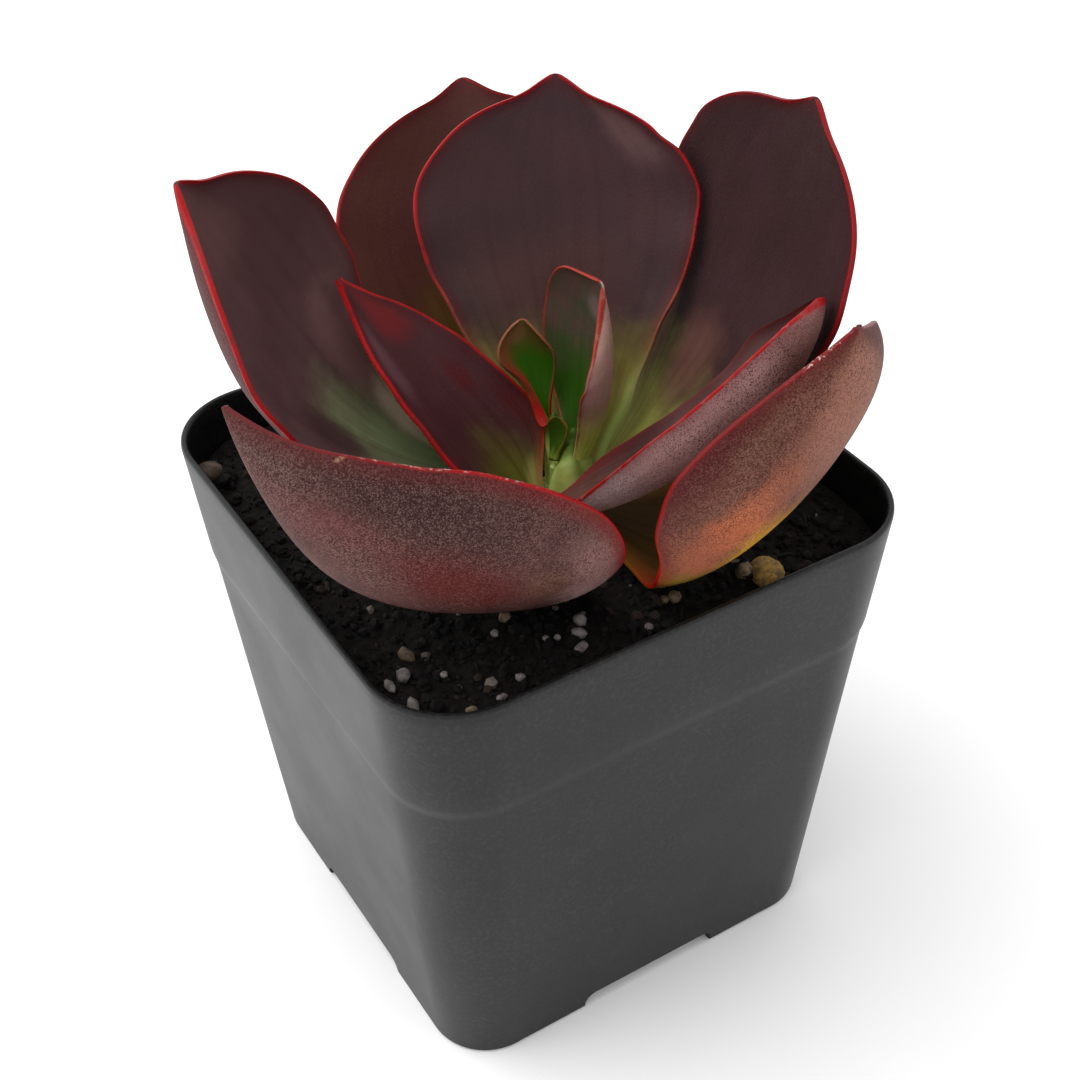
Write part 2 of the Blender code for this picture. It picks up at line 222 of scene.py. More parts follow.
LEAVES = {
    "leaf_back": Leaf(
        (34, 3.8, 58.9), (55, 1, 7), (50, 71, -5), (-3, -2),
        43.5, 34, (26, 34, 0.95), 0.73, 1.6, 8.1, 2.5, 0.5, 2,
    ),
    "leaf_back_left": Leaf(
        (86, 5.8, 57.4), (75, -6, -1), (39, 52, 0), (-1, -8),
        46.5, 37, (32, 28, 1), 0.62, 1.9, 5.4, 2.7, 0.55, 2,
    ),
    "leaf_back_right": Leaf(
        (356, 6.3, 57.2), (348, -23, 0), (42, 86, -1), (-12, 29),
        50.5, 40.1, (17, 23, 1), 0.68, 2.1, 7, 2.6, 0.45, 2,
    ),
    "leaf_left": Leaf(
        (140, 5.5, 58.7), (164, 2, -11), (17, 79, 6), (4, -20),
        53.5, 38, (33, 37, 1.25), 0.7, 1.6, 4.5, 2.8, 0.5, 2,
    ),
    "leaf_front_left": Leaf(
        (226, 5.5, 57.6), (219, -120, 38), (-2, 56, 14), (-31, 89),
        60, 39.5, (37, 64, 1.75), 0.48, 1.6, 5, 2.8, 0.8, 2,
    ),
    "leaf_front_right": Leaf(
        (289, 4.9, 59.2), (300, -6, -12), (-13, 91, 13), (35, -14),
        54.1, 40, (49, 39, 1.1), 0.73, 1.6, 6, 2.5, 1, 0.4,
    ),
    "leaf_left_inner": Leaf(
        (196, 4.2, 59.6), (116, 2, 5), (46, 45, -2), (-3, 9),
        30.7, 17.5, (38, 40, 0.55), 0.25, 2.7, 4.5, 2.4, 0.75, 2,
    ),
    "leaf_right_folded": Leaf(
        (248, 4.21, 60.27), (282, 116, -33), (33, 45, 3), (48, -56),
        42.47, 17.79, (67, 90, 0.95), 0.74, 3, 6.14, 2.4, 0.4, 2,
    ),
    "heart_leaf_right": Leaf(
        (313, 1.58, 60.79), (357, 53, 4), (52, 116, -8), (-16, -63),
        24.3, 20.4, (62, 98, 0.6), 0.64, 2.7, 1.61, 1.65, 0.4, 2,
    ),
    "heart_leaf_left": Leaf(
        (74, 2.66, 65.97), (89, -5, 1), (37, 91, 1), (22, -32),
        12.33, 7.36, (52, 71, 0.8), 0.71, 1.9, 1.45, 1.6, 0.54, 0.8,
    ),
    "heart_bud": Leaf(
        (231, 0.67, 63.53), (36, 5, 2), (40, 90, 7), (-44, -6),
        4.66, 3.31, (37, 31, 1), 0.88, 2.6, 1.39, 1.2, 0.5, 0.8,
    ),
}


def display(*levels):
    """Linear colour of an 8-bit display colour, with an alpha of 1."""
    return (*Color([level / 255 for level in levels]).from_srgb_to_scene_linear(), 1.0)


def smooth_ramp(value):
    """0 below 0, 1 above 1, and an even S between."""
    value = min(max(value, 0.0), 1.0)
    return value * value * (3 - 2 * value)


# Node trees


def wire(tree, socket, value):
    """Links a socket to another, or sets its value; three numbers are a display colour."""
    if isinstance(value, bpy.types.NodeSocket):
        tree.links.new(value, socket)
    else:
        socket.default_value = display(*value) if isinstance(value, tuple) else value


def add_node(tree, kind, inputs, **settings):
    node = tree.nodes.new(kind)
    for name, value in settings.items():
        setattr(node, name, value)
    for name, value in inputs.items():
        wire(tree, node.inputs[name], value)
    return node


def maths(tree, operation, first, second=0.0, third=0.0):
    node = add_node(tree, "ShaderNodeMath", {0: first, 1: second}, operation=operation)
    if operation == "MULTIPLY_ADD":
        wire(tree, node.inputs[2], third)
    return node.outputs[0]


def times(tree, first, second):
    return maths(tree, "MULTIPLY", first, second)


def mix_colour(tree, share, first, second, blend="MIX"):
    node = add_node(tree, "ShaderNodeMix", {}, data_type="RGBA", blend_type=blend)
    wire(tree, node.inputs[0], share)
    wire(tree, node.inputs[6], first)
    wire(tree, node.inputs[7], second)
    return node.outputs[2]


def mix_value(tree, share, first, second):
    node = add_node(tree, "ShaderNodeMix", {0: share}, data_type="FLOAT")
    wire(tree, node.inputs[2], first)
    wire(tree, node.inputs[3], second)
    return node.outputs[0]


def soft_step(tree, value, start, end, low=0.0, high=1.0):
    """Low at start and high at end, with an even S between."""
    inputs = {"Value": value, "From Min": start, "From Max": end, "To Min": low, "To Max": high}
    return add_node(tree, "ShaderNodeMapRange", inputs, interpolation_type="SMOOTHSTEP").outputs[0]


def object_place(tree):
    return tree.nodes.new("ShaderNodeTexCoord").outputs["Object"]


def fine_noise(tree, size, detail=3.0, roughness=0.6, shift=0.0):
    """Noise on the object's own place, whose lumps measure about size in millimetres."""
    scale = 1 / MM / size
    inputs = {
        "Vector": object_place(tree), "Scale": scale, "Detail": detail, "Roughness": roughness, "W": shift,
    }
    return add_node(tree, "ShaderNodeTexNoise", inputs, noise_dimensions="4D").outputs["Fac"]


def stored(tree, name):
    """Value kept on the mesh under this name."""
    return add_node(tree, "ShaderNodeAttribute", {}, attribute_name=name).outputs["Fac"]


def blotchy(tree, first, second, size, softness=0.15, shift=0.0):
    """Two colours in soft patches of a given size."""
    patches = fine_noise(tree, size, detail=4.0, roughness=0.55, shift=shift)
    return mix_colour(tree, soft_step(tree, patches, 0.5 - softness, 0.5 + softness), first, second)


def waxy_grain(tree, size, shift):
    """Fine speckle of a waxy leaf: masks of its pale and its dark dots, and their height."""
    dots = fine_noise(tree, size, detail=2.0, roughness=0.7, shift=shift)
    cover = soft_step(tree, fine_noise(tree, 6.0, shift=5.0), 0.38, 0.62, 0.55, 1.0)
    pale, dark = [times(tree, soft_step(tree, dots, 0.5, full), cover) for full in (0.6, 0.41)]
    return pale, dark, dots


def relief_height(tree, swell_size, swell, tooth_size, tooth):
    """Height of a surface with a broad swell and a fine tooth, each of a given size and height."""
    broad = fine_noise(tree, swell_size, detail=1.0, roughness=0.4, shift=1.0)
    fine = fine_noise(tree, tooth_size, detail=2.0, shift=2.0)
    return maths(tree, "MULTIPLY_ADD", fine, tooth, times(tree, broad, swell))


# Materials. Colours are display colours


def new_material(name):
    material = bpy.data.materials.new(name)
    material.use_nodes = True
    return material, material.node_tree, material.node_tree.nodes["Principled BSDF"]


def raise_surface(tree, shader, height):
    """Bump whose height is in millimetres."""
    inputs = {"Height": height, "Distance": MM, "Strength": 1.0}
    wire(tree, shader.inputs["Normal"], add_node(tree, "ShaderNodeBump", inputs).outputs[0])


def plain_material(name, blotches, relief=None, roughness=0.5, specular=0.5):
    """Material of blotches and a relief, and its tree, shader and colour, for more to be laid on it.

    blotches: two colours, size, softness and shift; relief: size and height of the swell and of the tooth.
    """
    material, tree, shader = new_material(name)
    colour = blotchy(tree, *blotches)
    wire(tree, shader.inputs["Base Color"], colour)
    shader.inputs["Roughness"].default_value = roughness
    shader.inputs["Specular IOR Level"].default_value = specular
    if relief is not None:
        raise_surface(tree, shader, relief_height(tree, *relief))
    return material, tree, shader, colour


# Leaf finishes

DEEP_RED = (74, 14, 18)
STREAK_TINT = (200, 176, 178)
# Colour of the painted glints: highlights painted on a margin's edge
PAINTED_GLINT_COLOUR = (214, 190, 182)
OUTER_DOT = (166, 130, 120)
DARK_DOT = (48, 18, 20)
INNER_DOT = (110, 82, 84)

LEAF_SPECULAR = 0.12
INNER_ROUGHNESS = 0.42
OUTER_DULLER = 0.16
MARGIN_ROUGHNESS = 0.38
LEAF_RELIEF = (6.0, 0.25, 0.35, 0.03)
DOT_HEIGHT = 0.04
SHIFT_STEP = 1.7
RAGGED = 0.5

# Base colours: the leaves' own pale green, mostly made much lighter to paint light into the shade round the
# stem
# inner and outer: two colours and the size of their blotches; base: colour near the base of each face
# base_reach: how far the base colour goes up the middle and the sides of the inner face, and up the outer one
# margin: its colour near the base, in the middle and near the tip; turns: where they change, along the leaf
# core, glow: widths of the margin's line and of the flush beside it; flush: strength of the flush
# grain: strength of the outer face's pale and dark dots and of the inner face's pale ones, and size of a dot
# flecks: side of the margin, and middle and reach along it, of the pale painted highlights where its edge
# catches light
# faint: side whose margin is hardly coloured, and the share of its colour that is left
# patches of a face: middle and reach along and across, colour, strength, and how ragged if not RAGGED
Look = namedtuple(
    "Look",
    "inner outer base base_reach margin turns core glow flush grain flecks faint inner_patches outer_patches",
    defaults=(
        ((66, 46, 49), (60, 42, 47), 9.0),
        ((100, 72, 70), (84, 58, 58), 7.0),
        ((84, 84, 44), (110, 90, 60)),
        (0.34, 0.16, 0.2),
        ((126, 134, 62), (112, 54, 42), (146, 18, 22)),
        (0.2, 0.5),
        0.3,
        1.9,
        0.5,
        (0.14, 0.5, 0.08, 0.18),
        None,
        None,
        (),
        (),
    ),
)

LOOKS = {
    "leaf_back": Look(
        inner=((63, 40, 42), (57, 38, 41), 10.0), outer=((90, 60, 60), (78, 54, 56), 8.0),
        base=((142, 134, 64), (150, 140, 70)), base_reach=(0.36, 0.34, 0.2),
        margin=((160, 176, 98), (130, 78, 62), (150, 18, 22)), turns=(0.24, 0.48),
        inner_patches=(
            ((0.12, -0.97), (0.2, 0.18), (174, 194, 104), 0.95),
            ((0.3, -0.2), (0.16, 0.5), (92, 72, 54), 0.6),
            ((0.42, 0.6), (0.2, 0.4), (74, 56, 50), 0.5),
            ((0.5, 0.1), (0.2, 0.9), (80, 50, 46), 0.5),
            ((0.9, -0.7), (0.14, 0.3), (98, 70, 70), 0.7),
        ),
        outer_patches=(((0.12, -0.97), (0.2, 0.2), (174, 194, 104), 0.95),),
    ),
    "leaf_back_left": Look(
        inner=((64, 30, 20), (66, 31, 28), 8.0), base=((84, 60, 16), (104, 80, 50)),
        base_reach=(0.62, 0.42, 0.25), margin=((110, 110, 50), (110, 48, 38), (130, 24, 24)),
        inner_patches=(((0.85, -0.3), (0.16, 0.5), (84, 46, 42), 0.5),),
    ),
    "leaf_back_right": Look(
        inner=((47, 26, 27), (52, 30, 32), 11.0), base=((178, 180, 86), (160, 150, 76)),
        base_reach=(0.28, 0.3, 0.2), margin=((140, 150, 76), (104, 50, 40), (128, 16, 20)),
        inner_patches=(
            ((0.34, 0.1), (0.18, 0.5), (104, 68, 58), 0.75),
            ((0.34, 0.75), (0.16, 0.2), (124, 88, 62), 0.75),
            ((0.5, 0.85), (0.14, 0.3), (104, 66, 60), 0.6),
        ),
    ),
    "leaf_left": Look(
        inner=((76, 50, 52), (84, 58, 59), 9.0), outer=((88, 48, 50), (76, 44, 46), 7.0),
        base=((134, 148, 104), (120, 104, 66)), base_reach=(0.46, 0.3, 0.2),
        inner_patches=(
            ((0.45, -0.6), (0.2, 0.36), (140, 100, 98), 0.75),
            # Pale patch, partly real and partly painted light: lightened past its own colour to offset the
            # shade leaf_front_left casts here
            ((0.26, -0.65), (0.14, 0.4), (216, 196, 164), 0.9),
            ((0.33, 0.3), (0.14, 0.26), (84, 80, 60), 0.4),
            ((0.45, 0.4), (0.15, 0.34), (60, 38, 40), 0.85),
            ((0.9, -0.1), (0.12, 0.6), (96, 66, 62), 0.6),
        ),
    ),
    "leaf_front_left": Look(
        outer=((88, 57, 53), (70, 43, 41), 6.0), grain=(0.26, 0.9, 0.08, 0.15),
        margin=((150, 18, 22), (146, 16, 20), (92, 30, 32)), turns=(0.1, 0.86), core=0.26, glow=2.6,
        flush=0.6, flecks=(1, 0.74, 0.17),
        outer_patches=(
            ((0.57, 0.32), (0.2, 0.32), (86, 24, 20), 0.85),
            ((0.76, 0.72), (0.28, 0.4), (44, 27, 26), 0.75),
            ((0.25, 0.68), (0.17, 0.4), (196, 158, 152), 0.9),
            ((0.42, 0.78), (0.1, 0.2), (126, 92, 88), 0.5),
            ((0.86, 0.1), (0.14, 0.34), (104, 64, 64), 0.6),
            ((0.95, 0.42), (0.12, 0.6), (78, 58, 55), 0.8),
            ((0.78, 0.3), (0.1, 0.2), (98, 48, 50), 0.5),
            ((0.38, 0.8), (0.1, 0.22), (132, 96, 92), 0.8),
            ((0.44, 0.55), (0.06, 0.16), (100, 68, 50), 0.6),
            ((0.88, 0.95), (0.006, 0.1), (196, 156, 116), 1.0, 0.1),
        ),
    ),
    "leaf_front_right": Look(
        inner=((64, 34, 14), (76, 42, 20), 8.0), outer=((104, 62, 48), (90, 48, 36), 6.0),
        grain=(0.24, 0.84, 0.08, 0.15), base=((64, 43, 12), (150, 126, 14)), base_reach=(0.6, 0.5, 0.44),
        margin=((120, 100, 30), (156, 22, 16), (106, 16, 18)), turns=(0.2, 0.66), core=0.18, glow=2.6,
        flush=0.6, flecks=(-1, 0.965, 0.045),
        outer_patches=(
            ((0.86, 0.1), (0.34, 0.62), (150, 100, 82), 0.85),
            ((0.54, -0.72), (0.14, 0.3), (150, 78, 50), 0.8, 0.8),
            ((0.62, -0.5), (0.12, 0.3), (174, 90, 48), 0.9, 0.9),
            ((0.7, -0.36), (0.1, 0.22), (158, 86, 56), 0.6, 0.9),
            ((0.8, -0.9), (0.2, 0.22), (72, 26, 22), 0.85),
            ((0.84, -0.66), (0.1, 0.2), (92, 60, 46), 0.5),
            ((0.5, -0.2), (0.15, 0.42), (190, 138, 6), 0.95),
        ),
    ),
    "leaf_left_inner": Look(
        inner=((68, 36, 39), (64, 31, 35), 7.0), outer=((64, 46, 50), (58, 42, 46), 6.0),
        base=((86, 84, 26), (84, 84, 40)), base_reach=(0.3, 0.16, 0.2),
        margin=((150, 142, 80), (160, 28, 26), (158, 20, 24)), turns=(0.05, 0.3), core=0.36,
        inner_patches=(
            ((0.04, -0.6), (0.12, 0.5), (150, 146, 84), 0.8),
            ((0.51, -0.45), (0.12, 0.26), (78, 18, 22), 0.7),
            ((0.86, -0.3), (0.16, 0.7), (108, 24, 26), 0.75),
            ((0.3, -0.75), (0.16, 0.2), (82, 26, 26), 0.7),
            ((0.74, 0.66), (0.24, 0.32), (96, 64, 70), 0.7),
        ),
    ),
    "leaf_right_folded": Look(
        # Outer face and its near-white base are painted light: far lighter than the leaf's own, offsetting
        # the shade on this face
        inner=((78, 52, 49), (66, 43, 41), 8.0), outer=((198, 150, 147), (174, 127, 125), 6.0),
        grain=(0.3, 0.82, 0.08, 0.15), base=((104, 68, 60), (255, 224, 222)), base_reach=(0.2, 0.2, 0.4),
        margin=((130, 40, 34), (150, 26, 26), (156, 20, 22)), turns=(0.1, 0.3), faint=(1, 0.12),
        flecks=(-1, 0.93, 0.015),
        outer_patches=(((0.92, -0.6), (0.14, 0.6), (134, 88, 80), 0.75),),
    ),
    "heart_leaf_right": Look(
        # Outer face and its base are painted light: far lighter than the leaf's own, offsetting the shade
        # between its neighbours
        inner=((90, 68, 62), (70, 72, 52), 3.0), outer=((206, 156, 152), (190, 156, 136), 4.0),
        grain=(0.06, 0.2, 0.05, 0.2), base=((40, 78, 8), (206, 220, 104)), base_reach=(0.66, 0.6, 0.34),
        margin=((190, 170, 96), (158, 92, 66), (146, 50, 40)), core=0.2, glow=0.9, flush=0.2,
        inner_patches=(
            ((0.86, 0.1), (0.1, 0.4), (124, 108, 104), 0.6),
            ((0.35, 0.1), (0.3, 0.3), (92, 84, 50), 0.6),
        ),
    ),
    "heart_leaf_left": Look(
        inner=((84, 66, 28), (64, 74, 14), 4.0), outer=((180, 80, 80), (196, 122, 100), 4.0),
        grain=(0.06, 0.2, 0.05, 0.2), base=((42, 88, 0), (150, 28, 24)), base_reach=(0.84, 0.76, 0.5),
        margin=((156, 30, 24), (130, 84, 42), (132, 82, 54)), turns=(0.32, 0.6), core=0.14, glow=0.5,
        flush=0.2,
        inner_patches=(
            ((0.45, 0.85), (0.7, 0.55), (124, 56, 38), 0.85),
            ((0.34, 1.0), (0.42, 0.5), (166, 26, 24), 1.0, 0.1),
            ((0.92, 0.3), (0.12, 0.6), (112, 76, 50), 0.7),
        ),
        outer_patches=(((0.34, 1.0), (0.42, 0.5), (166, 26, 24), 1.0, 0.1),),
    ),
    "heart_bud": Look(
        inner=((50, 78, 4), (42, 68, 4), 3.0), outer=((62, 84, 10), (50, 74, 6), 3.0),
        base=((96, 112, 30), (110, 126, 44)), margin=((96, 110, 30), (92, 100, 20), (104, 86, 24)),
        core=0.12, glow=0.4, flush=0.2,
    ),
}


def patch_mask(tree, along, across, middle, reach, ragged):
    """Mask of one soft patch at a place on a leaf, given as shares along and across it."""
    squares = []
    for place, centre, half in zip((along, across), middle, reach):
        share = maths(tree, "DIVIDE", maths(tree, "SUBTRACT", place, centre), half)
        squares.append(times(tree, share, share))
    away = maths(tree, "SQRT", maths(tree, "ADD", *squares))
    rough = maths(tree, "SUBTRACT", fine_noise(tree, 3.0, detail=4.0, shift=3.0), 0.5)
    away = maths(tree, "MULTIPLY_ADD", rough, ragged, away)
    return soft_step(tree, away, 0.25, 1.0, 1.0, 0.0)


def margin_masks(tree, inward, width, glow):
    """Masks of a leaf's coloured margin: a narrow, uneven core at the edge and a soft glow beside it."""
    wander = maths(tree, "SUBTRACT", fine_noise(tree, 3.5), 0.5)
    inward = maths(tree, "MULTIPLY_ADD", wander, 0.35, inward)
    core = soft_step(tree, inward, 0.45 * width, 1.35 * width, 1.0, 0.0)
    uneven = soft_step(tree, fine_noise(tree, 2.2, shift=7.0), 0.3, 0.55, 0.5, 1.0)
    return times(tree, core, uneven), soft_step(tree, inward, 0.0, glow, 1.0, 0.0)


def face_colours(tree, look, along, across, shift):
    """Colours of the inner face, 1, and of the outer one, -1, with the base colour climbing raggedly."""
    middle, sides, outside = look.base_reach
    inside = soft_step(tree, maths(tree, "ABSOLUTE", across), 0.0, 0.8, middle, sides)
    ragged = maths(tree, "SUBTRACT", fine_noise(tree, 4.0, detail=4.0, shift=shift), 0.5)
    climb = maths(tree, "MULTIPLY_ADD", ragged, 0.22, along)
    faces = {}
    for face, blotches, base, reach, start, end in (
        (1, look.inner, look.base[0], inside, -0.2, 0.12),
        (-1, look.outer, look.base[1], outside, -0.15, 0.15),
    ):
        # The base colour is partly painted light: lighter than the leaf's own, to offset the shade near the
        # stem
        near_base = soft_step(tree, maths(tree, "SUBTRACT", climb, reach), start, end, 1.0, 0.0)
        faces[face] = mix_colour(tree, near_base, blotchy(tree, *blotches, shift=shift), base)
    return faces


def add_patches(tree, look, faces, along, across):
    for face, patches in ((1, look.inner_patches), (-1, look.outer_patches)):
        for middle, reach, colour, strength, *ragged in patches:
            share = patch_mask(tree, along, across, middle, reach, *(ragged or [RAGGED]))
            share = times(tree, share, strength)
            faces[face] = mix_colour(tree, share, faces[face], colour)


def add_streaks(tree, faces, along, across, shift):
    """Darkens both faces in streaks that fan out, more near the base, and the outer face half as much."""
    place = {"X": times(tree, along, 1.6), "Y": times(tree, across, 11.0), "Z": shift}
    fan = add_node(tree, "ShaderNodeCombineXYZ", place).outputs[0]
    inputs = {"Vector": fan, "Scale": 1.0, "Detail": 4.0, "Roughness": 0.6}
    noise = add_node(tree, "ShaderNodeTexNoise", inputs).outputs["Fac"]
    streaks = times(tree, soft_step(tree, noise, 0.42, 0.66), soft_step(tree, along, 0.15, 0.75, 0.5, 0.16))
    for face, strength in ((1, 1.0), (-1, 0.5)):
        share = times(tree, streaks, strength)
        faces[face] = mix_colour(tree, share, faces[face], STREAK_TINT, blend="MULTIPLY")


def add_dots(tree, look, faces, shift):
    """Speckles both faces and gives the height of the dots."""
    outer_pale, outer_dark, inner_pale, size = look.grain
    pale, dark, height = waxy_grain(tree, size, shift)
    for face, mask, strength, tint in (
        (-1, pale, outer_pale, OUTER_DOT), (-1, dark, outer_dark, DARK_DOT), (1, pale, inner_pale, INNER_DOT),
    ):
        faces[face] = mix_colour(tree, times(tree, mask, strength), faces[face], tint)
    return height


def add_margin(tree, look, colour, along, across):
    """Lays the flush, the margin's line and its painted glints over a colour, and gives the line's mask too.
    """
    inward = stored(tree, "inward")
    core, glow = margin_masks(tree, inward, look.core, look.glow)
    if look.faint is not None:
        side, left = look.faint
        core = times(tree, core, soft_step(tree, across, -0.3 * side, 0.3 * side, 1.0, left))
    low, high = look.turns
    near_base, middle, near_tip = look.margin
    line = mix_colour(tree, soft_step(tree, along, low - 0.15, low + 0.15), near_base, middle)
    line = mix_colour(tree, soft_step(tree, along, high - 0.2, high + 0.15), line, near_tip)
    flush = mix_colour(tree, soft_step(tree, along, low - 0.1, high + 0.1), line, DEEP_RED)
    colour = mix_colour(tree, times(tree, glow, look.flush), colour, flush)
    colour = mix_colour(tree, core, colour, line)
    # Painted highlight: broken pale glints on the very edge of the margin, where it would catch the light
    if look.flecks is not None:
        side, middle, reach = look.flecks
        share = patch_mask(tree, along, across, (middle, side), (reach, 0.3), RAGGED)
        share = times(tree, share, soft_step(tree, inward, 0.03, 0.16, 1.0, 0.0))
        specks = fine_noise(tree, 0.6, detail=4.0, roughness=0.7, shift=9.0)
        share = times(tree, share, soft_step(tree, specks, 0.5, 0.66))
        colour = mix_colour(tree, share, colour, PAINTED_GLINT_COLOUR)
    return colour, core


def leaf_material(name, look):
    material, tree, shader = new_material(name)
    along = stored(tree, "along")
    across = stored(tree, "across")
    outer_side = stored(tree, "outer")
    shift = SHIFT_STEP * len(name)
    faces = face_colours(tree, look, along, across, shift)
    add_patches(tree, look, faces, along, across)
    add_streaks(tree, faces, along, across, shift)
    dots = add_dots(tree, look, faces, shift)
    colour = mix_colour(tree, outer_side, faces[1], faces[-1])
    colour, core = add_margin(tree, look, colour, along, across)
    wire(tree, shader.inputs["Base Color"], colour)

    duller = maths(tree, "MULTIPLY_ADD", outer_side, OUTER_DULLER, INNER_ROUGHNESS)
    blade = maths(tree, "MULTIPLY_ADD", dots, 0.2, duller)
    wire(tree, shader.inputs["Roughness"], mix_value(tree, core, blade, MARGIN_ROUGHNESS))
    shader.inputs["Specular IOR Level"].default_value = LEAF_SPECULAR
    dot_height = times(tree, dots, times(tree, outer_side, DOT_HEIGHT))
    raise_surface(tree, shader, maths(tree, "ADD", relief_height(tree, *LEAF_RELIEF), dot_height))
    return material


# Meshes


def new_object(name, builder, material):
    """Object whose mesh comes from a bmesh in millimetres."""
    bmesh.ops.scale(builder, vec=(MM, MM, MM), verts=builder.verts[:])
    mesh = bpy.data.meshes.new(name)
    builder.to_mesh(mesh)
    builder.free()
    obj = bpy.data.objects.new(name, mesh)
    bpy.context.scene.collection.objects.link(obj)
    if material is not None:
        mesh.materials.append(material)
    return obj


def keep_value(obj, name, values):
    """Stores one value for each vertex under a name that a material reads."""
    layer = obj.data.attributes.new(name, "FLOAT", "POINT")
    layer.data.foreach_set("value", np.asarray(values, dtype=np.float32))


def shade_smooth(obj, angle=None):
    obj.data.shade_smooth()
    if angle is not None:
        obj.data.set_sharp_from_angle(angle=math.radians(angle))


def boolean(obj, cutters):
    """Cuts helpers out of obj, for good once the modifiers are applied."""
    for cutter in cutters:
        modifier = obj.modifiers.new(cutter.name, "BOOLEAN")
        modifier.operation = "DIFFERENCE"
        modifier.solver = "EXACT"
        modifier.object = cutter


def apply_modifiers(obj):
    graph = bpy.context.evaluated_depsgraph_get()
    mesh = bpy.data.meshes.new_from_object(obj.evaluated_get(graph))
    obj.modifiers.clear()
    old = obj.data
    obj.data = mesh
    bpy.data.meshes.remove(old)
    mesh.name = obj.name


def add_piece(obj, slot, *nodes):
    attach(obj, "root")
    if nodes:
        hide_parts(*nodes)


# Pot


def rounded_square(half, corner):
    """Outline of a square with round corners, from +X round towards +Y, with points along its sides."""
    points = []
    straight = half - corner
    for quarter in range(4):
        turn = quarter * math.pi / 2
        line = []
        for step in range(CORNER_STEPS + 1):
            angle = math.pi / 2 * step / CORNER_STEPS
            line.append((straight + corner * math.cos(angle), straight + corner * math.sin(angle)))
        for step in range(1, SIDE_STEPS):
            line.append((straight * (1 - 2 * step / SIDE_STEPS), half))
        for x, y in line:
            points.append((x * math.cos(turn) - y * math.sin(turn), x * math.sin(turn) + y * math.cos(turn)))
    return points


def pot_section(height, inset):
    """The pot's outline at a height, drawn in by inset; above the step it stands out a little."""
    share = height / POT_HEIGHT
    half = POT_FOOT_HALF + (POT_TOP_HALF - POT_FOOT_HALF) * share
    corner = POT_FOOT_CORNER + (POT_TOP_CORNER - POT_FOOT_CORNER) * share
    step = smooth_ramp((height - STEP_TOP + STEP_HEIGHT) / STEP_HEIGHT)
    half += STEP_DEPTH * (step - 1) * smooth_ramp(height / STEP_TOP)
    return rounded_square(half - inset, corner - inset)


def tapered_block(name, profile, material):
    """Closed block with the pot's taper through the given heights and insets."""
    block = bmesh.new()
    cuts = len(profile) - 1
    sections = [pot_section(height, inset) for height, inset in profile]
    count = len(sections[0])
    bmesh.ops.create_cone(block, cap_ends=True, segments=count, radius1=1, radius2=1, depth=cuts)
    for cut in range(1, cuts):
        everything = block.verts[:] + block.edges[:] + block.faces[:]
        bmesh.ops.bisect_plane(block, geom=everything, plane_co=(0, 0, cut - cuts / 2), plane_no=(0, 0, 1))
    for vert in block.verts:
        level = round(vert.co.z + cuts / 2)
        index = round(math.atan2(vert.co.y, vert.co.x) / (2 * math.pi) * count) % count
        x, y = sections[level][index]
        vert.co = (x, y, profile[level][0])
    return new_object(name, block, material)


def wall_levels(first, last):
    """Heights up a wall, close together round the step."""
    step = [STEP_TOP - STEP_HEIGHT * share / 4 for share in range(5)]
    even = [first + (last - first) * share / WALL_STEPS for share in range(WALL_STEPS + 1)]
    clear = [height for height in even if abs(height - STEP_TOP + STEP_HEIGHT / 2) > STEP_HEIGHT]
    return sorted(clear + step)


def arch_cutter(name, side, grow):
    """Block that lifts the pot's foot in the middle of one side, made larger all round by grow."""
    cutter = bmesh.new()
    bmesh.ops.create_cube(cutter, size=1)
    depth = 2 * (ARCH_DEPTH + grow)
    height = 2 * (ARCH_HEIGHT + grow)
    bmesh.ops.scale(cutter, vec=(depth, ARCH_WIDTH + 2 * grow, height), verts=cutter.verts[:])
    upper = []
    for edge in cutter.edges:
        start, end = (vert.co for vert in edge.verts)
        if start.z > 0 and end.z > 0 and start.y * end.y > 0:
            upper.append(edge)
    bmesh.ops.bevel(
        cutter, geom=upper, offset=ARCH_ROUND, offset_type="OFFSET", segments=ARCH_SEGMENTS, profile=0.5,
        affect="EDGES", material=-1,
    )
    bmesh.ops.translate(cutter, vec=(POT_FOOT_HALF, 0, 0), verts=cutter.verts[:])
    bmesh.ops.rotate(cutter, matrix=Matrix.Rotation(side * math.pi / 2, 3, "Z"), verts=cutter.verts[:])
    return new_object(name, cutter, None)


def drain_cutter(name, corner):
    """Cylinder that cuts the drain hole of one corner."""
    cutter = bmesh.new()
    bmesh.ops.create_cone(
        cutter, cap_ends=True, segments=DRAIN_SEGMENTS, radius1=DRAIN_RADIUS, radius2=DRAIN_RADIUS,
        depth=DRAIN_CUT,
    )
    turn = math.pi / 4 + corner * math.pi / 2
    away = DRAIN_OFFSET * math.sqrt(2)
    bmesh.ops.translate(cutter, vec=(away * math.cos(turn), away * math.sin(turn), 0), verts=cutter.verts[:])
    return new_object(name, cutter, None)


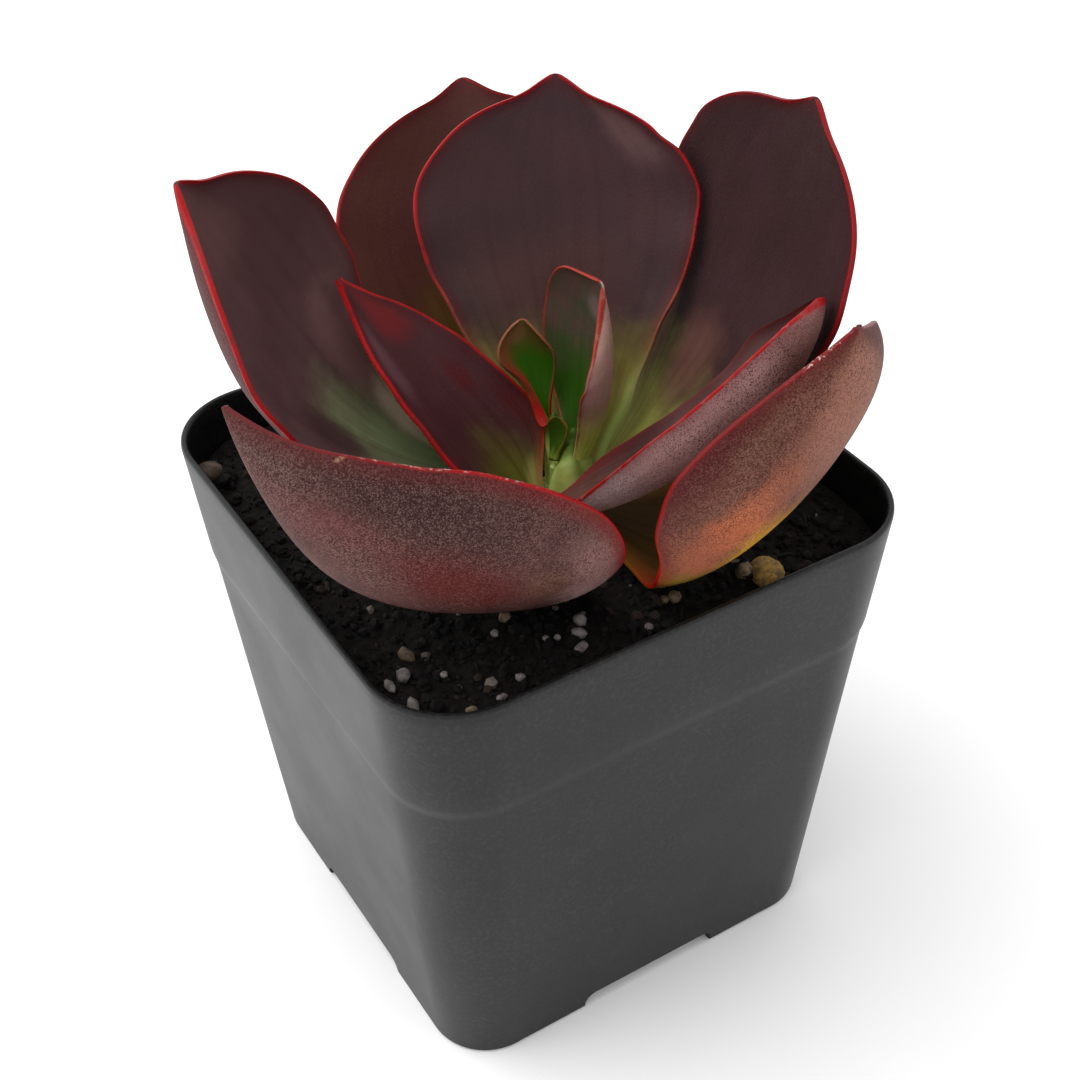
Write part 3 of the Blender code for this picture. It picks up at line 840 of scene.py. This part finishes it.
def build_pot(material):
    levels_end = POT_HEIGHT - LEVELS_END
    outside = list(FOOT_ROUNDING)
    outside += [(height, 0.0) for height in wall_levels(OUTSIDE_START, levels_end)]
    outside += [(POT_HEIGHT - drop, inset) for drop, inset in RIM_ROUNDING] + [(POT_HEIGHT, LIP)]
    inside = [(POT_FLOOR, POT_WALL)]
    inside += [(height, POT_WALL) for height in wall_levels(INSIDE_START, levels_end)]
    inside += [(POT_HEIGHT - drop, POT_WALL - inset) for drop, inset in RIM_ROUNDING]
    inside += [(POT_HEIGHT, LIP), (POT_HEIGHT + OVERCUT, LIP)]
    pot = tapered_block("black_pot", outside, material)
    core = tapered_block("pot_inside", inside, None)
    inner_arches = [arch_cutter(f"arch_inside_{side + 1}", side, POT_WALL) for side in range(4)]
    boolean(core, inner_arches)
    cutters = [core]
    cutters += [arch_cutter(f"arch_{side + 1}", side, 0.0) for side in range(4)]
    cutters += [drain_cutter(f"drain_{corner + 1}", corner) for corner in range(4)]
    boolean(pot, cutters)
    apply_modifiers(pot)
    for helper in inner_arches + cutters:
        bpy.data.objects.remove(helper)
    shade_smooth(pot, POT_SHARP_ANGLE)
    add_piece(pot, "black_plastic", "pot")


def pot_material():
    """Black plastic with faint dust and worn, duller areas."""
    blotches = ((12, 13, 14), (16, 17, 18), 16.0, 0.2, 2.0)
    relief = (18.0, 0.05, 0.6, 0.01)
    material, tree, shader, colour = plain_material("black_plastic_finish", blotches, relief, specular=0.26)
    dust = waxy_grain(tree, 0.5, 8.0)[0]
    specks = times(tree, dust, 0.05)
    wire(tree, shader.inputs["Base Color"], mix_colour(tree, specks, colour, (120, 118, 112)))
    worn = fine_noise(tree, 12.0, shift=4.0)
    wire(tree, shader.inputs["Roughness"], soft_step(tree, worn, 0.3, 0.7, 0.37, 0.42))
    return material


# Soil

# Grains seen in the soil: two colours, and each grain's place, radius and stretch along x, y and z
SEEN_GRAINS = {
    "perlite": ((132, 124, 122), (92, 84, 82), (
        (-6.5, -21.2, 0.7, (1.0, 1.1, 0.95)),
        (-7.4, -22.3, 0.75, (1.1, 0.9, 0.9)),
        (-1.0, -26.0, 0.5, (1.0, 1.0, 0.9)),
        (-8.4, -24.3, 0.7, (1.3, 0.8, 0.8)),
        (-25.9, -18.0, 0.85, (0.9, 0.9, 1.0)),
        (-27.8, -18.6, 0.7, (1.5, 0.7, 0.6)),
        (-22.5, -20.4, 0.4, (1.0, 1.0, 0.8)),
        (-15.9, -24.5, 0.55, (1.0, 1.1, 0.8)),
        (-9.5, -21.4, 0.4, (1.0, 1.0, 0.8)),
        (-10.5, -20.8, 0.4, (1.2, 1.0, 0.8)),
        (-14.9, -17.7, 0.45, (1.0, 1.2, 0.8)),
        (-27.3, -22.5, 0.9, (1.4, 0.7, 0.6)),
        (-19.0, -26.1, 0.5, (1.3, 0.8, 0.7)),
    )),
    "beige_grit": ((126, 106, 84), (84, 66, 50), (
        (12.6, -24.4, 1.1, (1.1, 0.9, 0.8)),
        (-12.5, -15.6, 0.75, (1.1, 0.9, 0.8)),
        (-21.9, -22.4, 0.35, (1.0, 1.0, 0.8)),
        (-22.4, -25.8, 0.5, (1.3, 0.8, 0.7)),
        (4.4, -22.9, 0.8, (1.1, 0.9, 0.8)),
        (3.3, -22.5, 0.6, (1.0, 1.0, 0.8)),
    )),
    "golden_grit": ((172, 136, 62), (104, 84, 50), (
        (14.7, -25.5, 1.9, (1.15, 1.0, 0.75)),
    )),
    "brown_pebble": ((90, 70, 56), (58, 45, 36), (
        (-29.0, 24.0, 1.6, (1.05, 1.0, 0.8)),
        (-24.2, -15.4, 1.0, (1.2, 0.8, 0.7)),
    )),
}


def ground_level(ground, x, y):
    """Height of the soil's own mesh at a place, in millimetres."""
    hit = ground.ray_cast(Vector((x * MM, y * MM, ABOVE_GROUND * MM)), Vector((0, 0, -1)))[0]
    return hit.z / MM


def lumpy_grain(builder, rng, radius, stretch, place, shape):
    """One uneven grain, squashed and turned, at a place."""
    spin = Matrix.Rotation(rng.uniform(0, math.pi), 4, "Z")
    tilt = Matrix.Rotation(rng.uniform(-GRAIN_TILT, GRAIN_TILT), 4, "X")
    size = Matrix.Diagonal((*[radius * share for share in stretch], 1.0))
    matrix = Matrix.Translation(place) @ spin @ tilt @ size
    subdivisions, stray = shape
    made = bmesh.ops.create_icosphere(builder, subdivisions=subdivisions, radius=1, matrix=matrix)
    for vert in made["verts"]:
        vert.co += Vector(rng.uniform(-stray, stray, 3)) * radius
    return made["verts"]


def build_crumbs(ground, material):
    """Loose crumbs and slivers that cover the soil, gathered by the handful, which is quicker."""
    rng = np.random.default_rng(CRUMB_SEED)
    builder = bmesh.new()
    handful = bmesh.new()
    tones = []
    placed = 0
    straight = CRUMB_REACH - CRUMB_CORNER
    while placed < CRUMB_COUNT:
        x, y = rng.uniform(-CRUMB_REACH, CRUMB_REACH, 2)
        over = math.hypot(max(abs(x) - straight, 0), max(abs(y) - straight, 0))
        from_stem = math.hypot(x - STEM_X, y - STEM_Y)
        radius = SMALLEST_CRUMB + CRUMB_SPREAD * rng.random() ** 3
        too_large = from_stem < FINE_REACH and radius > FINE_CRUMB
        if over > CRUMB_CORNER - radius or from_stem < BARE_REACH or too_large:
            continue
        sliver = rng.random() < SLIVER_SHARE
        stretch = SLIVER_STRETCH if sliver else rng.uniform(LEAST_STRETCH, MOST_STRETCH, 3)
        place = (x, y, ground_level(ground, x, y) + CRUMB_RAISED * radius)
        verts = lumpy_grain(handful, rng, radius, stretch, place, CRUMB_SHAPE)
        tones += [rng.random()] * len(verts)
        placed += 1
        if placed % HANDFUL == 0:
            mesh = bpy.data.meshes.new("handful")
            handful.to_mesh(mesh)
            handful.free()
            builder.from_mesh(mesh)
            bpy.data.meshes.remove(mesh)
            handful = bmesh.new()
    handful.free()
    crumbs = new_object("soil_crumbs", builder, material)
    keep_value(crumbs, "tone", tones)
    add_piece(crumbs, "potting_soil")


def grain_material(kind, first, second):
    blotches = (first, second, 0.7, 0.12, 6.0)
    return plain_material(f"{kind}_finish", blotches, (0.8, 0.15, 0.2, 0.04), roughness=0.8)[0]


def build_grains(ground):
    """Pale and coloured grains that stand out in the soil, one piece for each colour."""
    rng = np.random.default_rng(CRUMB_SEED + 1)
    for kind, (first, second, seen) in SEEN_GRAINS.items():
        builder = bmesh.new()
        for x, y, radius, stretch in seen:
            raised = LARGE_RAISED if radius > LARGE_GRAIN else SMALL_RAISED
            place = (x, y, ground_level(ground, x, y) + raised * radius)
            shape = PEBBLE_SHAPE if radius > PEBBLE else GRAIN_SHAPE
            lumpy_grain(builder, rng, radius, stretch, place, shape)
        grains = new_object(kind, builder, grain_material(kind, first, second))
        shade_smooth(grains)
        add_piece(grains, "potting_soil")


def soil_material():
    blotches = ((13, 12, 11), (24, 20, 18), 1.2, 0.12, 3.0)
    relief = (1.5, 0.9, 0.35, 0.2)
    return plain_material("potting_soil_finish", blotches, relief, roughness=0.95, specular=0.15)[0]


def crumb_material():
    """Dark crumbs, some of them brown and a few pale."""
    blotches = ((12, 11, 11), (22, 19, 18), 0.5, 0.2, 1.0)
    relief = (0.6, 0.1, 0.15, 0.03)
    material, tree, shader, colour = plain_material("soil_crumb_finish", blotches, relief, 0.9, 0.2)
    tone = stored(tree, "tone")
    colour = mix_colour(tree, soft_step(tree, tone, 0.82, 0.98), colour, (42, 32, 27))
    colour = mix_colour(tree, soft_step(tree, tone, 0.985, 0.99), colour, (104, 96, 90))
    wire(tree, shader.inputs["Base Color"], colour)
    return material


# Stem and crown

# Between these heights the crown darkens
CROWN_DARKENS = (62, 66)
FLESHY_RELIEF = (1.5, 0.1, 0.25, 0.02)


def round_stem(turn, out):
    """x and y at an angle round the stem and a distance from its axis."""
    angle = math.radians(turn)
    return STEM_X + out * math.cos(angle), STEM_Y + out * math.sin(angle)


def stem_material():
    # Pale green, partly painted light: lighter than the stem's own, to offset the shade it stands in under
    # the leaves
    blotches = ((164, 178, 92), (120, 142, 56), 2.5, 0.15, 1.0)
    return plain_material("stem_finish", blotches, FLESHY_RELIEF)[0]


def crown_material():
    """Pale green that turns deep green towards the top."""
    blotches = ((188, 198, 112), (150, 168, 78), 2.0, 0.2, 2.0)
    material, tree, shader, colour = plain_material("crown_finish", blotches, FLESHY_RELIEF, specular=0.25)
    height = add_node(tree, "ShaderNodeSeparateXYZ", {0: object_place(tree)}).outputs[2]
    upper = soft_step(tree, height, *[level * MM for level in CROWN_DARKENS])
    wire(tree, shader.inputs["Base Color"], mix_colour(tree, upper, colour, (62, 92, 12)))
    return material


def build_crown(material):
    """Pale fleshy bases that the innermost leaves share round the top of the stem."""
    builder = bmesh.new()
    for turn, out, low, high, radius in CROWN_BASES:
        place = Matrix.Translation((*round_stem(turn, out), (low + high) / 2))
        spin = Matrix.Rotation(math.radians(turn), 4, "Z")
        lean = Matrix.Rotation(math.radians(CROWN_LEAN), 4, "Y")
        matrix = place @ spin @ lean @ Matrix.Diagonal((radius, radius, (high - low) / 2, 1))
        around, up = CROWN_SEGMENTS
        bmesh.ops.create_uvsphere(builder, u_segments=around, v_segments=up, radius=1, matrix=matrix)
    crown = new_object("crown_bases", builder, None)
    merge = crown.modifiers.new("merge", "REMESH")
    merge.mode = "VOXEL"
    merge.voxel_size = CROWN_VOXEL * MM
    soften = crown.modifiers.new("soften", "SMOOTH")
    soften.factor = 0.5
    soften.iterations = CROWN_SOFTENING
    apply_modifiers(crown)
    crown.data.materials.clear()
    crown.data.materials.append(material)
    shade_smooth(crown)
    add_piece(crown, "heart_green")


# Leaves


def half_widths(leaf, along):
    """Half of a leaf's flat width at shares of its length."""
    narrow = min(leaf.base_width / leaf.width, BASE_MOST)
    opened = np.sin(np.pi / 2 * np.clip(along / leaf.widest, 0, 1)) ** OPENING_POWER
    opening = narrow + (1 - narrow) * opened
    past = np.clip((along - leaf.widest) / (1 - leaf.widest), 0, 1)
    closing = (1 - past**leaf.fullness) ** leaf.bluntness
    return np.maximum(leaf.width * np.where(along < leaf.widest, opening, closing), TIP_WIDTH) / 2


def inward_distance(leaf, along, across):
    """Distance of each point from the margin of the leaf laid flat, in millimetres."""
    stations = 1 - np.linspace(1, 0, OUTLINE_STATIONS) ** STATION_CROWDING
    halves = half_widths(leaf, stations)
    outline = np.stack([stations * leaf.length, halves], 1)
    x = along * leaf.length
    y = np.abs(across) * half_widths(leaf, along)
    start, end = outline[:-1], outline[1:]
    run = end - start
    share = (x[:, None] - start[:, 0]) * run[:, 0] + (y[:, None] - start[:, 1]) * run[:, 1]
    share = np.clip(share / (run**2).sum(1), 0, 1)
    gap_x = x[:, None] - start[:, 0] - share * run[:, 0]
    gap_y = y[:, None] - start[:, 1] - share * run[:, 1]
    return np.hypot(gap_x, gap_y).min(1)


def slopes(leaf, share):
    """Rise and heading of a leaf's centre line at shares of its length, in radians."""
    bow = 4 * share * (1 - share)
    rise = leaf.rise[0] + (leaf.rise[1] - leaf.rise[0]) * share + leaf.rise[2] * bow
    heading = leaf.heading[0] + leaf.heading[1] * share + leaf.heading[2] * bow
    return np.radians(rise), np.radians(heading)


def directions(leaf, share):
    rise, heading = slopes(leaf, share)
    return np.stack([np.cos(rise) * np.cos(heading), np.cos(rise) * np.sin(heading), np.sin(rise)], 1)


def centre_points(leaf, along):
    """Points of a leaf's centre line at shares of its length."""
    fine = np.linspace(0, 1, CENTRE_LINE_STEPS + 1)
    step = directions(leaf, fine)
    turn, out, height = leaf.base
    start = np.array([*round_stem(turn, out), height])
    moves = np.cumsum((step[1:] + step[:-1]) / 2, 0) * leaf.length / CENTRE_LINE_STEPS
    line = np.vstack([start, start + moves])
    return np.stack([np.interp(along, fine, line[:, k]) for k in range(3)], 1)


def leaf_points(leaf, along, across, face):
    """Points of a leaf, in millimetres: along from 0 at the base to 1, across from -1 to 1, face 1 or -1."""
    forward = directions(leaf, along)
    heading = slopes(leaf, along)[1]
    level = np.stack([-np.sin(heading), np.cos(heading), np.zeros_like(heading)], 1)
    inward = np.cross(forward, level)
    roll = np.radians(leaf.roll[0] + (leaf.roll[1] - leaf.roll[0]) * along)[:, None]
    left = np.cos(roll) * level + np.sin(roll) * inward
    above = np.cos(roll) * inward - np.sin(roll) * level

    curl = np.radians(np.where(across > 0, leaf.curl[0], leaf.curl[1])) * (1 - along + leaf.curl[2] * along)
    radius = half_widths(leaf, along) / curl
    angle = curl * across
    sideways = radius * np.sin(angle)
    lift = radius * (1 - np.cos(angle))

    edge = min(EDGE_THICKNESS, EDGE_MOST * leaf.thickness)
    body = np.maximum(leaf.thickness * (1 - BODY_TAPER * along) - edge, BODY_LEAST)
    thick = edge + body * (1 - np.abs(across) ** SECTION_POWER) * (1 - along**TIP_POWER)
    near_tip = np.clip((along - TIP_START) / (1 - TIP_START), 0, 1) ** 2
    point_out = leaf.point * np.exp(-((sideways / TIP_SPREAD) ** 2)) * near_tip
    normal = np.cos(angle)[:, None] * above - np.sin(angle)[:, None] * left
    points = centre_points(leaf, along) + sideways[:, None] * left + lift[:, None] * above
    return points + (face * thick / 2)[:, None] * normal + point_out[:, None] * forward


def shaped_points(name, leaf, along, across, face):
    """Points of a leaf whose margins ripple, and draw in or stand out where the photo shows it."""
    phase = PHASE_STEP * len(name)
    side = np.sign(across)
    small = min(leaf.width / RIPPLE_WIDTH, 1) ** 2
    pull = np.zeros_like(along)
    for share, waves, by_leaf, by_side in SIDE_WAVES:
        pull += RIPPLE_SIDE * small * share * np.sin(waves * along + by_leaf * phase + by_side * side)
    for dip_side, middle, reach, depth in MARGIN_DIPS.get(name, ()):
        pull += np.where(side == dip_side, depth, 0.0) * np.exp(-(((along - middle) / reach) ** 2))
    half = np.maximum(half_widths(leaf, along), DRAWN_HALF)
    drawn = across * (1 - np.minimum(pull / half, DRAWN_MOST))
    inner = leaf_points(leaf, along, drawn, 1.0)
    through = inner - leaf_points(leaf, along, drawn, -1.0)
    through /= np.linalg.norm(through, axis=1)[:, None]
    wave = np.sin(OUT_WAVES * along + phase - side) * (1 - along**OUT_POWER)
    rise = RIPPLE_OUT * small * np.abs(across) ** OUT_POWER * wave
    return leaf_points(leaf, along, drawn, face) + rise[:, None] * through


def build_leaf(name, leaf, slot, material):
    long_segments, cross_segments = HEART_SEGMENTS if name.startswith("heart") else LEAF_SEGMENTS
    builder = bmesh.new()
    bmesh.ops.create_grid(builder, x_segments=long_segments, y_segments=cross_segments, size=1)
    bmesh.ops.solidify(builder, geom=builder.faces[:], thickness=1)
    bmesh.ops.recalc_face_normals(builder, faces=builder.faces[:])
    blank = np.array([v.co for v in builder.verts])
    along = 1 - ((1 - blank[:, 0]) / 2) ** STATION_CROWDING
    across = np.sin(np.pi / 2 * blank[:, 1])
    middle = (blank[:, 2].max() + blank[:, 2].min()) / 2
    face = np.where(blank[:, 2] > middle, 1.0, -1.0)
    for vert, point in zip(builder.verts, shaped_points(name, leaf, along, across, face)):
        vert.co = point
    obj = new_object(f"{name}_blade", builder, material)
    keep_value(obj, "along", along)
    keep_value(obj, "across", across)
    keep_value(obj, "outer", (1 - face) / 2)
    keep_value(obj, "inward", inward_distance(leaf, along, across))
    shade_smooth(obj)
    smooth = obj.modifiers.new("smooth", "SUBSURF")
    smooth.levels = SUBDIVISIONS
    smooth.render_levels = SUBDIVISIONS
    add_piece(obj, slot, name)


def leaf_slot(name):
    """The record's slot for a leaf's finish."""
    if name.startswith("heart"):
        return "heart_green"
    return "leaf_lilac_brown" if name in OUTER_FACES_SEEN else "leaf_burgundy"


# Studio


def build_camera():
    """Camera that looks at its target from an azimuth and an elevation, and is turned by its roll."""
    data = bpy.data.cameras.new("camera")
    data.lens = LENS
    data.sensor_width = SENSOR
    data.sensor_fit = "HORIZONTAL"
    data.clip_start = NEAREST_SHOWN * MM
    data.clip_end = FARTHEST_SHOWN * MM
    camera = bpy.data.objects.new("camera", data)
    place = Matrix.Translation(Vector(CAMERA_TARGET) * MM)
    for degrees, axis in ((CAMERA_AZIMUTH, "Z"), (90 - CAMERA_ELEVATION, "X"), (CAMERA_ROLL, "Z")):
        place = place @ Matrix.Rotation(math.radians(degrees), 4, axis)
    camera.matrix_world = place @ Matrix.Translation((0, 0, CAMERA_AWAY * MM))
    bpy.context.scene.collection.objects.link(camera)
    bpy.context.scene.camera = camera


def build_studio():
    scene = bpy.context.scene
    scene.view_settings.view_transform = "Standard"
    scene.view_settings.look = "None"
    world = bpy.data.worlds.new("studio")
    world.use_nodes = True
    background = world.node_tree.nodes["Background"]
    background.inputs["Color"].default_value = (1.0, 1.0, 1.0, 1.0)
    background.inputs["Strength"].default_value = WORLD_STRENGTH
    scene.world = world

    floor = bmesh.new()
    bmesh.ops.create_grid(floor, x_segments=1, y_segments=1, size=FLOOR_SIZE / 2)
    blotches = ((247, 247, 247), (250, 250, 250), 60.0, 0.2)
    material = plain_material("pale_floor", blotches, roughness=1.0, specular=0.0)[0]
    new_object("floor", floor, material)

    light = bpy.data.lights.new("softbox", "AREA")
    light.shape = "SQUARE"
    light.size = SOFTBOX_SIZE * MM
    light.energy = SOFTBOX_ENERGY
    softbox = bpy.data.objects.new("softbox", light)
    place = Vector(SOFTBOX_PLACE) * MM
    away = place - Vector(SOFTBOX_AIM) * MM
    softbox.matrix_world = Matrix.Translation(place) @ away.to_track_quat("Z", "Y").to_matrix().to_4x4()
    scene.collection.objects.link(softbox)


def main():
    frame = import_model()
    build_camera()
    build_studio()

    soil = frame["nodes"]["soil"]
    soil.material_slots[0].material = soil_material()
    frame["nodes"]["stem"].material_slots[0].material = stem_material()
    build_pot(pot_material())
    ground = BVHTree.FromObject(soil, bpy.context.evaluated_depsgraph_get())
    build_crumbs(ground, crumb_material())
    build_grains(ground)
    build_crown(crown_material())
    for name, leaf in LEAVES.items():
        build_leaf(name, leaf, leaf_slot(name), leaf_material(f"{name}_finish", LOOKS[name]))


main()
